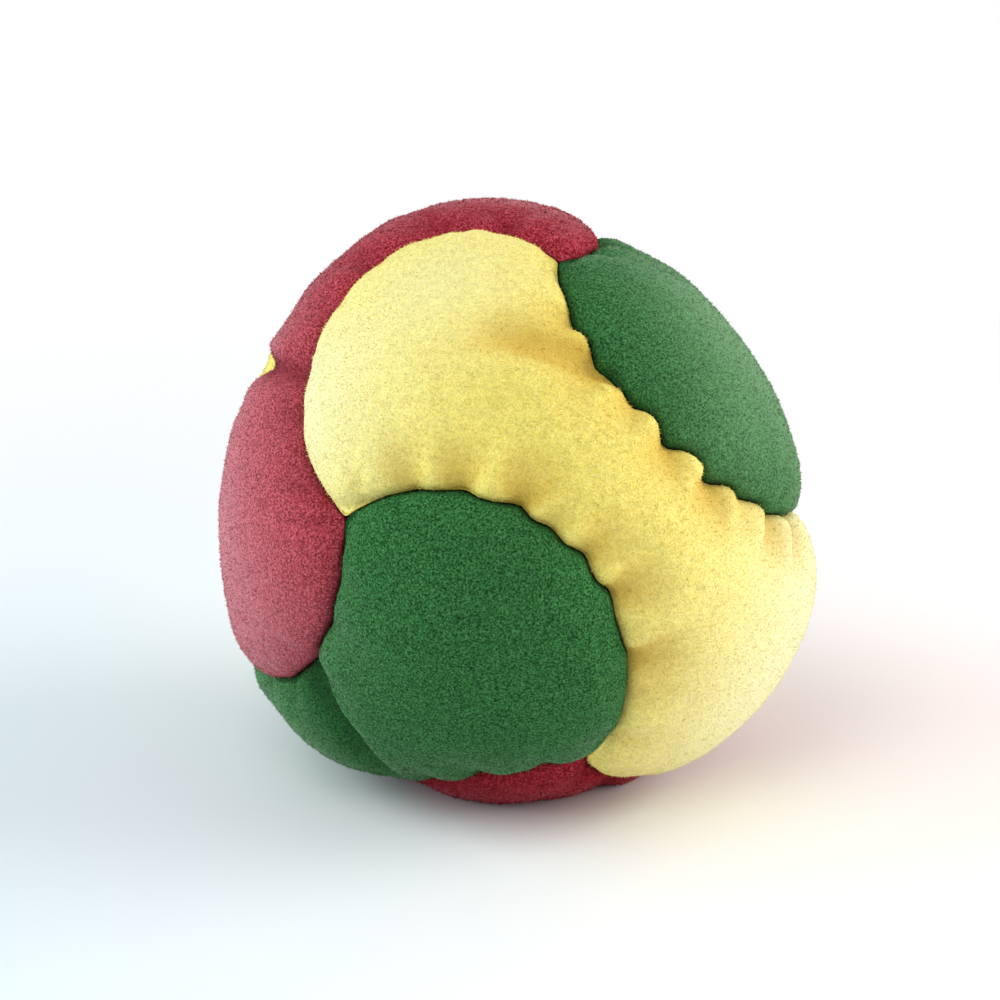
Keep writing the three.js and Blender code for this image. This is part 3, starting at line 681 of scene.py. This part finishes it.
def press_out(pieces):
    """Lets sand pressure and the gathered cloth's spare length puff the panels between their seams."""
    rests = [read(piece.data.vertices, "co", 3) for piece in pieces]
    for piece, rest in zip(pieces, rests):
        piece.data.vertices.foreach_set("co", ((rest - CENTRE) * SIM_SCALE).ravel())
        grip_cloth(piece)
        lay_cloth(piece)
    scene = bpy.context.scene
    scene.frame_start, scene.frame_end = 1, SIM_FRAMES
    for step in range(1, SIM_FRAMES + 1):
        scene.frame_set(step)
    graph = bpy.context.evaluated_depsgraph_get()
    for piece, rest in zip(pieces, rests):
        moved = read(piece.evaluated_get(graph).data.vertices, "co", 3) / SIM_SCALE + CENTRE
        shift = moved - rest
        length = np.linalg.norm(shift, axis=1, keepdims=True)
        grips = read(piece.data.attributes["sewn"].data, "value")[:, None]
        cap = SIM_CAP * (1 - FOLD_HOLD * np.clip(grips / FOLD_GRIP, 0, 1))
        shift *= cap * np.tanh(length / cap) / np.maximum(length, TINY)
        piece.modifiers.clear()
        piece.data.vertices.foreach_set("co", (rest + shift).ravel())
        piece.vertex_groups.clear()
    scene.frame_set(1)


def apply_modifiers(piece):
    """Gives the piece the mesh that its modifiers make."""
    graph = bpy.context.evaluated_depsgraph_get()
    mesh = bpy.data.meshes.new_from_object(piece.evaluated_get(graph), depsgraph=graph)
    piece.modifiers.clear()
    old = piece.data
    piece.data = mesh
    bpy.data.meshes.remove(old)


# The nap's relief and the pared tips, in millimetres
NAP_SIZE = 0.34
NAP_HEIGHT = 0.07
CLUMP_SIZE = 3 * NAP_SIZE
CLUMP_SHARE = 0.6  # how high the clumps stand, of the nap's height
CLUMP_OFFSET = Vector((5, 1, 9))  # a part of the noise that the nap doesn't use
TIP_REACH = 6.0  # from a panel's corner, within which the suede is pared thinner
TIP_SHARE = 0.1  # of its thickness at the corner itself


def raise_nap(mesh):
    """Lifts the sheet by its nap, keeps it above the table, turns it to metres and returns its places."""
    places = read(mesh.vertices, "co", 3)
    normals = read(mesh.vertex_normals, "vector", 3)
    nap = np.array([noise.noise(Vector(place / NAP_SIZE)) for place in places])
    clumps = np.array([noise.noise(Vector(place / CLUMP_SIZE) + CLUMP_OFFSET) for place in places])
    places = places + normals * (NAP_HEIGHT * (nap + CLUMP_SHARE * clumps))[:, None]
    places[:, 2] = np.maximum(places[:, 2], 0)
    mesh.vertices.foreach_set("co", (places * MM).ravel())
    return places


def pare_tips(name, piece, places):
    """Marks how much of its thickness the suede keeps towards the panel's corners."""
    tips = np.array([CORNERS[corner] for corner in PANELS[name]])
    from_tip = np.arccos(np.clip((unit(places - CENTRE) @ tips.T).max(1), -1, 1)) * BAG_RADIUS
    pared = piece.vertex_groups.new(name="pared")
    for index, share in enumerate(np.clip((from_tip / TIP_REACH) ** 2, TIP_SHARE, 1)):
        pared.add([index], share, "REPLACE")


def finish_panel(name, piece):
    """Smooths the sheet, raises its nap and gives it the suede's thickness."""
    smooth = piece.modifiers.new("smooth", "SUBSURF")
    smooth.levels = smooth.render_levels = 1
    apply_modifiers(piece)
    places = raise_nap(piece.data)
    pare_tips(name, piece, places)
    wall = piece.modifiers.new("wall", "SOLIDIFY")
    wall.vertex_group = "pared"
    wall.thickness = SUEDE_THICKNESS * MM
    wall.offset = -1
    apply_modifiers(piece)
    piece.data.shade_smooth()


# Tufts of the nap that stand up, in millimetres
TUFT_DOUBLINGS = 14
TUFT_RADIUS = 0.05
TUFT_WIDTH_SHARES = (0.7, 1.3)  # of that radius: the thinnest and the thickest tuft
TUFT_HEIGHTS = (0.12, 0.38)
TUFT_SHORTNESS = 3  # a power: the higher it is, the more of the tufts are short
TUFT_LEAN = 0.45
TUFT_RISE = 0.4  # where a tuft's middle stands, of its height, so that its foot is in the suede
OUTWARD_COSINE = 0.25  # past which a face looks outwards
TUFT_LAYERS = ("seam_near", "painted_light", "crease")  # what a tuft takes over from the suede below it


def tuft_cones(name):
    """A mesh of as many unit cones as a panel has tufts, each numbered, made by doubling."""
    bm = bmesh.new()
    bmesh.ops.create_cone(bm, cap_ends=False, segments=3, radius1=1, radius2=0, depth=1)
    number = bm.verts.layers.int.new("tuft")
    for doubling in range(TUFT_DOUBLINGS):
        made = bmesh.ops.duplicate(bm, geom=bm.verts[:] + bm.edges[:] + bm.faces[:])["geom"]
        for vert in made:
            if isinstance(vert, bmesh.types.BMVert):
                vert[number] += 2**doubling
    mesh = bpy.data.meshes.new(name + "_nap")
    bm.to_mesh(mesh)
    bm.free()
    return mesh


def nap_tufts(name, sheet, seed):
    """Small tufts all over the outer face of a panel, each a cone that leans its own way."""
    mesh = tuft_cones(name)
    count = 2**TUFT_DOUBLINGS
    tufts = read(mesh.attributes["tuft"].data, "value", kind=int)
    shapes = read(mesh.vertices, "co", 3)
    roots, normals, corners = outer_places(sheet.data, count, seed)
    chance = np.random.default_rng(seed + 1)
    lean = chance.normal(size=(count, 3)) * TUFT_LEAN
    upright = unit(normals + lean)
    across = unit(np.cross(upright, chance.normal(size=(count, 3))))
    beside = np.cross(upright, across)
    low, high = TUFT_HEIGHTS
    heights = (low + (high - low) * chance.random(count) ** TUFT_SHORTNESS) * MM
    thin, thick = TUFT_WIDTH_SHARES
    widths = TUFT_RADIUS * MM * (thin + (thick - thin) * chance.random(count))
    places = (
        roots[tufts]
        + shapes[:, 0:1] * (across * widths[:, None])[tufts]
        + shapes[:, 1:2] * (beside * widths[:, None])[tufts]
        + (shapes[:, 2:3] + TUFT_RISE) * (upright * heights[:, None])[tufts]
    )
    places[:, 2] = np.maximum(places[:, 2], 0)
    mesh.vertices.foreach_set("co", places.ravel())
    for layer in TUFT_LAYERS:
        values = read(sheet.data.attributes[layer].data, "value")
        mesh.attributes.new(layer, "FLOAT", "POINT").data.foreach_set("value", values[corners][tufts])
    piece = bpy.data.objects.new(name + "_nap", mesh)
    bpy.context.collection.objects.link(piece)
    return piece


def outer_places(mesh, count, seed):
    """Random places on the faces that look outwards, in metres, with their normals and one of the
    vertices beside each."""
    areas = read(mesh.polygons, "area")
    centres = read(mesh.polygons, "center", 3)
    normals = read(mesh.polygons, "normal", 3)
    outward = (unit(centres - CENTRE * MM) * normals).sum(1)
    weights = areas * (outward > OUTWARD_COSINE)
    chance = np.random.default_rng(seed)
    chosen = chance.choice(len(areas), size=count, p=weights / weights.sum())
    firsts = read(mesh.polygons, "loop_start", kind=int)[chosen]
    indices = read(mesh.loops, "vertex_index", kind=int)
    points = read(mesh.vertices, "co", 3)
    corners = points[indices[firsts[:, None] + np.arange(4)]]
    across, along = chance.random((2, count, 1))
    near_side = corners[:, 0] * (1 - across) + corners[:, 1] * across
    far_side = corners[:, 3] * (1 - across) + corners[:, 2] * across
    return near_side * (1 - along) + far_side * along, normals[chosen], indices[firsts]


# Finishes
MIX_FIRST, MIX_SECOND, MIX_COLOUR = 6, 7, 2  # a Mix node's colour sockets, which share their names
BLACK = (0, 0, 0)
WHITE = (1, 1, 1)


def finish_nodes(name, roughness, specular):
    """A new material with one shader."""
    material = bpy.data.materials.new(name)
    material.use_nodes = True
    tree = material.node_tree
    tree.nodes.clear()
    output = tree.nodes.new("ShaderNodeOutputMaterial")
    shader = tree.nodes.new("ShaderNodeBsdfPrincipled")
    shader.inputs["Roughness"].default_value = roughness
    shader.inputs["Specular IOR Level"].default_value = specular
    tree.links.new(shader.outputs["BSDF"], output.inputs["Surface"])
    return material, tree, shader


def object_places(tree):
    """Places in metres, from the object's own origin."""
    return tree.nodes.new("ShaderNodeTexCoord").outputs["Object"]


def noise_node(tree, places, size_mm, detail, roughness):
    """Soft noise from 0 to 1."""
    node = tree.nodes.new("ShaderNodeTexNoise")
    node.inputs["Scale"].default_value = 1 / (size_mm * MM)
    node.inputs["Detail"].default_value = detail
    node.inputs["Roughness"].default_value = roughness
    tree.links.new(places, node.inputs["Vector"])
    return node.outputs["Fac"]


def bands(tree, places, direction, per_metre, distortion):
    """Waves from 0 to 1 across a direction."""
    node = tree.nodes.new("ShaderNodeTexWave")
    node.bands_direction = direction
    node.inputs["Scale"].default_value = per_metre
    node.inputs["Distortion"].default_value = distortion
    tree.links.new(places, node.inputs["Vector"])
    return node.outputs["Fac"]


def ramp(tree, value, low, high, dark, light):
    """One colour up to a low value, another from a high one."""
    node = tree.nodes.new("ShaderNodeValToRGB")
    first, last = node.color_ramp.elements
    first.position, last.position = low, high
    first.color, last.color = (*dark, 1), (*light, 1)
    tree.links.new(value, node.inputs["Fac"])
    return node.outputs["Color"]


def between(tree, value, low, high, kind="LINEAR"):
    """0 up to a low value, 1 from a high one."""
    node = tree.nodes.new("ShaderNodeMapRange")
    node.interpolation_type = kind
    node.inputs["From Min"].default_value = low
    node.inputs["From Max"].default_value = high
    tree.links.new(value, node.inputs["Value"])
    return node.outputs["Result"]


def mixed(tree, kind, factor, first, second):
    """Two colours mixed, each a socket or a fixed value, as the factor is."""
    node = tree.nodes.new("ShaderNodeMix")
    node.data_type = "RGBA"
    node.blend_type = kind
    sockets = (node.inputs["Factor"], node.inputs[MIX_FIRST], node.inputs[MIX_SECOND])
    for socket, value in zip(sockets, (factor, first, second)):
        if isinstance(value, bpy.types.NodeSocket):
            tree.links.new(value, socket)
        else:
            socket.default_value = value
    return node.outputs[MIX_COLOUR]


def attribute(tree, name):
    """A value that the mesh carries."""
    node = tree.nodes.new("ShaderNodeAttribute")
    node.attribute_name = name
    return node.outputs["Fac"]


def product(tree, first, second):
    """Two values multiplied."""
    node = tree.nodes.new("ShaderNodeMath")
    node.operation = "MULTIPLY"
    tree.links.new(first, node.inputs[0])
    tree.links.new(second, node.inputs[1])
    return node.outputs[0]


def relief(tree, shader, height, depth_mm, inverted=False):
    """Fine relief in the shader's normal."""
    node = tree.nodes.new("ShaderNodeBump")
    node.inputs["Strength"].default_value = 1.0
    node.inputs["Distance"].default_value = depth_mm * MM
    node.invert = inverted
    tree.links.new(height, node.inputs["Height"])
    tree.links.new(node.outputs["Normal"], shader.inputs["Normal"])


def linear(red, green, blue):
    """A colour as seen in a picture, 0 to 255, in linear light."""
    def channel(value):
        value /= 255
        return value / 12.92 if value <= 0.04045 else ((value + 0.055) / 1.055) ** 2.4
    return tuple(channel(value) for value in (red, green, blue))


def grey(value):
    """An even grey in linear light."""
    return (value, value, value)


def suede(name, grain_size, base, deep, pale, painted_pale, crease_shade, glow, sheen):
    """Brushed suede: a fine pebbly nap with dark pits, patches of painted light, painted shade in its
    creases, a painted shadow along its seams, and a pale glow at grazing angles.
    """
    material, tree, shader = finish_nodes(name, roughness=0.95, specular=0.08)
    places = object_places(tree)
    grain = noise_node(tree, places, size_mm=grain_size, detail=3.0, roughness=0.6)
    curls = noise_node(tree, places, size_mm=0.7, detail=3.0, roughness=0.65)
    patches = noise_node(tree, places, size_mm=9.0, detail=2.0, roughness=0.5)
    pits = ramp(tree, grain, 0.36, 0.5, deep, base)
    body = mixed(tree, "MIX", ramp(tree, grain, 0.5, 0.64, BLACK, WHITE), pits, (*pale, 1))
    body = mixed(tree, "MULTIPLY", 1.0, body, ramp(tree, curls, 0.3, 0.7, grey(0.86), grey(1.08)))
    body = mixed(tree, "MULTIPLY", 1.0, body, ramp(tree, patches, 0.35, 0.7, (0.95, 0.94, 0.92), grey(1.04)))
    tops = ramp(tree, grain, 0.35, 0.6, grey(0.5), WHITE)
    # Painted light: the tops of the nap are painted towards a pale colour where lamps would graze them
    body = mixed(tree, "MIX", product(tree, attribute(tree, "painted_light"), tops), body, (*painted_pale, 1))
    # Painted shade: folds and tucks darken towards a deep colour as they deepen
    crease = attribute(tree, "crease")
    body = mixed(tree, "MIX", ramp(tree, crease, 0.2, 0.95, BLACK, grey(0.7)), body, (*crease_shade, 1))
    near = attribute(tree, "seam_near")
    shadow = [channel * 0.6 for channel in deep]
    body = mixed(tree, "MIX", ramp(tree, near, 0.7, 1.0, BLACK, WHITE), body, (*shadow, 1))
    tree.links.new(body, shader.inputs["Base Color"])
    beside_seam = ramp(tree, near, 0.15, 0.6, grey(sheen), BLACK)
    open_nap = product(tree, beside_seam, ramp(tree, crease, 0.1, 0.6, WHITE, BLACK))
    tree.links.new(open_nap, shader.inputs["Sheen Weight"])
    shader.inputs["Sheen Roughness"].default_value = 0.3
    shader.inputs["Sheen Tint"].default_value = (*glow, 1)
    relief(tree, shader, grain, depth_mm=0.1)
    return material


def thread_finish():
    """Two-ply sewing thread: twisted strands."""
    material, tree, shader = finish_nodes("twisted_thread", roughness=0.7, specular=0.3)
    twist = bands(tree, object_places(tree), "DIAGONAL", per_metre=900, distortion=1.5)
    colour = ramp(tree, twist, 0.1, 0.8, linear(178, 168, 140), linear(234, 228, 208))
    tree.links.new(colour, shader.inputs["Base Color"])
    relief(tree, shader, twist, depth_mm=0.08)
    return material


def cotton_finish():
    """Thin plain-woven cotton."""
    material, tree, shader = finish_nodes("woven_cotton", roughness=0.85, specular=0.2)
    places = object_places(tree)
    warp = bands(tree, places, "X", per_metre=520, distortion=0.6)
    weft = bands(tree, places, "Y", per_metre=520, distortion=0.6)
    weave = product(tree, warp, weft)
    colour = ramp(tree, weave, 0.05, 0.7, linear(168, 160, 140), linear(226, 220, 204))
    tree.links.new(colour, shader.inputs["Base Color"])
    relief(tree, shader, weave, depth_mm=0.06)
    return material


def sand_finish():
    """Dry sand of mixed grains."""
    material, tree, shader = finish_nodes("dry_sand", roughness=0.9, specular=0.3)
    grains = tree.nodes.new("ShaderNodeTexVoronoi")
    grains.inputs["Scale"].default_value = 1 / (0.6 * MM)
    tree.links.new(object_places(tree), grains.inputs["Vector"])
    middles = grains.outputs["Distance"]
    colour = ramp(tree, middles, 0.1, 0.7, linear(214, 190, 140), linear(120, 98, 66))
    tree.links.new(colour, shader.inputs["Base Color"])
    relief(tree, shader, middles, depth_mm=0.3, inverted=True)
    return material


SUEDES = {
    "yellow": suede(
        "yellow_suede",
        grain_size=0.17,
        base=linear(240, 225, 114),
        deep=linear(224, 202, 92),
        pale=linear(246, 237, 146),
        painted_pale=linear(241, 243, 204),
        crease_shade=linear(206, 168, 66),
        glow=(1, 1, 0.9),
        sheen=0.4,
    ),
    "green": suede(
        "green_suede",
        grain_size=0.2,
        base=linear(45, 103, 53),
        deep=linear(18, 58, 24),
        pale=linear(74, 134, 78),
        painted_pale=linear(122, 168, 122),
        crease_shade=linear(20, 56, 26),
        glow=(0.8, 1, 0.8),
        sheen=0.35,
    ),
    "red": suede(
        "red_suede",
        grain_size=0.2,
        base=linear(163, 44, 58),
        deep=linear(104, 16, 28),
        pale=linear(196, 86, 102),
        painted_pale=linear(246, 176, 186),
        crease_shade=linear(104, 20, 32),
        glow=(1, 0.8, 0.84),
        sheen=0.45,
    ),
    "red_base_panel": suede(  # a darker red with less sheen, for the panel underneath
        "red_base_suede",
        grain_size=0.2,
        base=linear(150, 32, 44),
        deep=linear(96, 12, 24),
        pale=linear(176, 62, 78),
        painted_pale=linear(226, 150, 162),
        crease_shade=linear(96, 16, 28),
        glow=(1, 0.6, 0.66),
        sheen=0.2,
    ),
}

sheets = [panel_sheet(name) for name in PANELS]
press_out(sheets)
for seed, (name, sheet) in enumerate(zip(PANELS, sheets)):
    colour = name.split("_")[0]
    finish_panel(name, sheet)
    nap = nap_tufts(name, sheet, seed)
    for piece in (sheet, nap):
        piece.data.materials.clear()
        piece.data.materials.append(SUEDES.get(name, SUEDES[colour]))
        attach(piece, "root")
    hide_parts(name)

inner_finishes = {"lining_bag": cotton_finish(), "sand_fill": sand_finish()}
thread = thread_finish()
for node_name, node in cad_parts.items():
    if node_name in PANELS:
        continue
    node.data.materials.clear()
    node.data.materials.append(inner_finishes.get(node_name, thread))


# Camera, as in the photograph
ELEVATION = math.radians(20)
DISTANCE = 0.352  # metres from the bag's centre
FOCAL_PIXELS = 3590
SENSOR = 36
BAG_AT = (519, 502)  # the picture's pixel at the bag's centre
BAG_PLACE = Vector(CENTRE) * MM


def build_camera():
    """The camera that took the photograph, as it was measured."""
    camera = bpy.data.objects.new("camera", bpy.data.cameras.new("camera"))
    bpy.context.collection.objects.link(camera)
    camera.data.sensor_width = SENSOR
    camera.data.lens = FOCAL_PIXELS * SENSOR / IMAGE_SIDE
    camera.data.shift_x = -(BAG_AT[0] - IMAGE_SIDE / 2) / IMAGE_SIDE
    camera.data.shift_y = (BAG_AT[1] - IMAGE_SIDE / 2) / IMAGE_SIDE
    camera.location = BAG_PLACE + Vector((0, -math.cos(ELEVATION), math.sin(ELEVATION))) * DISTANCE
    camera.rotation_euler = (math.pi / 2 - ELEVATION, 0, 0)
    camera.data.clip_start = 0.01
    bpy.context.scene.camera = camera


# Floor, backdrop and light
FLOOR_HALF = 1.5  # metres from the table's middle to its sides
FLOOR_TURN = 0.05  # metres to each side, in which the table's painted coloured light turns from cool to warm
FADE_CENTRE = (0.0, -0.12, 0.0)  # metres
FLOOR_FADE = (0.12, 0.28)  # metres from there, where the table turns to the plain white of the room
ROOM_GLOW = 0.55  # strength of the room's light on the bag, where the camera sees 1


def floor_finish():
    """A pale table with painted coloured light, cool on the left and warm on the right, that fades to white
    round the bag.
    """
    material, tree, shader = finish_nodes("pale_table", roughness=0.7, specular=0.1)
    places = object_places(tree)
    split = tree.nodes.new("ShaderNodeSeparateXYZ")
    tree.links.new(places, split.inputs["Vector"])
    rightness = between(tree, split.outputs["X"], -FLOOR_TURN, FLOOR_TURN)
    # Painted coloured light: cool on the left, warm on the right
    colour = ramp(tree, rightness, 0.0, 1.0, linear(220, 233, 240), linear(255, 246, 246))
    tree.links.new(colour, shader.inputs["Base Color"])
    away = tree.nodes.new("ShaderNodeVectorMath")
    away.operation = "DISTANCE"
    away.inputs[1].default_value = FADE_CENTRE
    tree.links.new(places, away.inputs[0])
    far = between(tree, away.outputs["Value"], *FLOOR_FADE, kind="SMOOTHSTEP")
    rays = tree.nodes.new("ShaderNodeLightPath")
    seen = product(tree, far, rays.outputs["Is Camera Ray"])
    white = tree.nodes.new("ShaderNodeEmission")
    output = next(node for node in tree.nodes if node.type == "OUTPUT_MATERIAL")
    switch_surface(tree, output, seen, shader.outputs["BSDF"], white.outputs["Emission"])
    return material


def switch_surface(tree, output, factor, first, second):
    """Two shaders mixed into the output."""
    switch = tree.nodes.new("ShaderNodeMixShader")
    tree.links.new(factor, switch.inputs["Fac"])
    tree.links.new(first, switch.inputs[1])
    tree.links.new(second, switch.inputs[2])
    tree.links.new(switch.outputs["Shader"], output.inputs["Surface"])


def build_stage():
    """The table top under the bag."""
    bm = bmesh.new()
    bmesh.ops.create_grid(bm, x_segments=1, y_segments=1, size=FLOOR_HALF)
    mesh = bpy.data.meshes.new("table_top")
    bm.to_mesh(mesh)
    bm.free()
    table = bpy.data.objects.new("table_top", mesh)
    bpy.context.collection.objects.link(table)
    mesh.materials.append(floor_finish())


def background(tree, strength):
    """An even white all round."""
    node = tree.nodes.new("ShaderNodeBackground")
    node.inputs["Color"].default_value = (1, 1, 1, 1)
    node.inputs["Strength"].default_value = strength
    return node.outputs["Background"]


def build_world():
    """A room that the camera sees as white, and that lights the bag less."""
    world = bpy.data.worlds.new("white_room")
    bpy.context.scene.world = world
    world.use_nodes = True
    tree = world.node_tree
    tree.nodes.clear()
    output = tree.nodes.new("ShaderNodeOutputWorld")
    rays = tree.nodes.new("ShaderNodeLightPath")
    seen = background(tree, 1)
    switch_surface(tree, output, rays.outputs["Is Camera Ray"], background(tree, ROOM_GLOW), seen)


def light(name, size, watts, place, colour):
    """A round lamp aimed at the bag."""
    lamp = bpy.data.objects.new(name, bpy.data.lights.new(name, "AREA"))
    lamp.data.shape = "DISK"
    lamp.data.size = size
    lamp.data.energy = watts
    lamp.data.color = colour
    lamp.location = place
    lamp.rotation_euler = (BAG_PLACE - Vector(place)).to_track_quat("-Z", "Y").to_euler()
    bpy.context.collection.objects.link(lamp)


build_camera()
build_stage()
build_world()
light("window", size=0.4, watts=1.0, place=(-0.2, -0.3, 0.5), colour=(1.0, 0.99, 0.96))
light("left_screen", size=0.5, watts=2.6, place=(-0.6, 0.0, 0.26), colour=(0.9, 0.98, 1.0))
light("right_screen", size=0.5, watts=3.4, place=(0.6, 0.0, 0.26), colour=(1.0, 0.97, 0.93))
bpy.context.scene.view_settings.view_transform = "Standard"
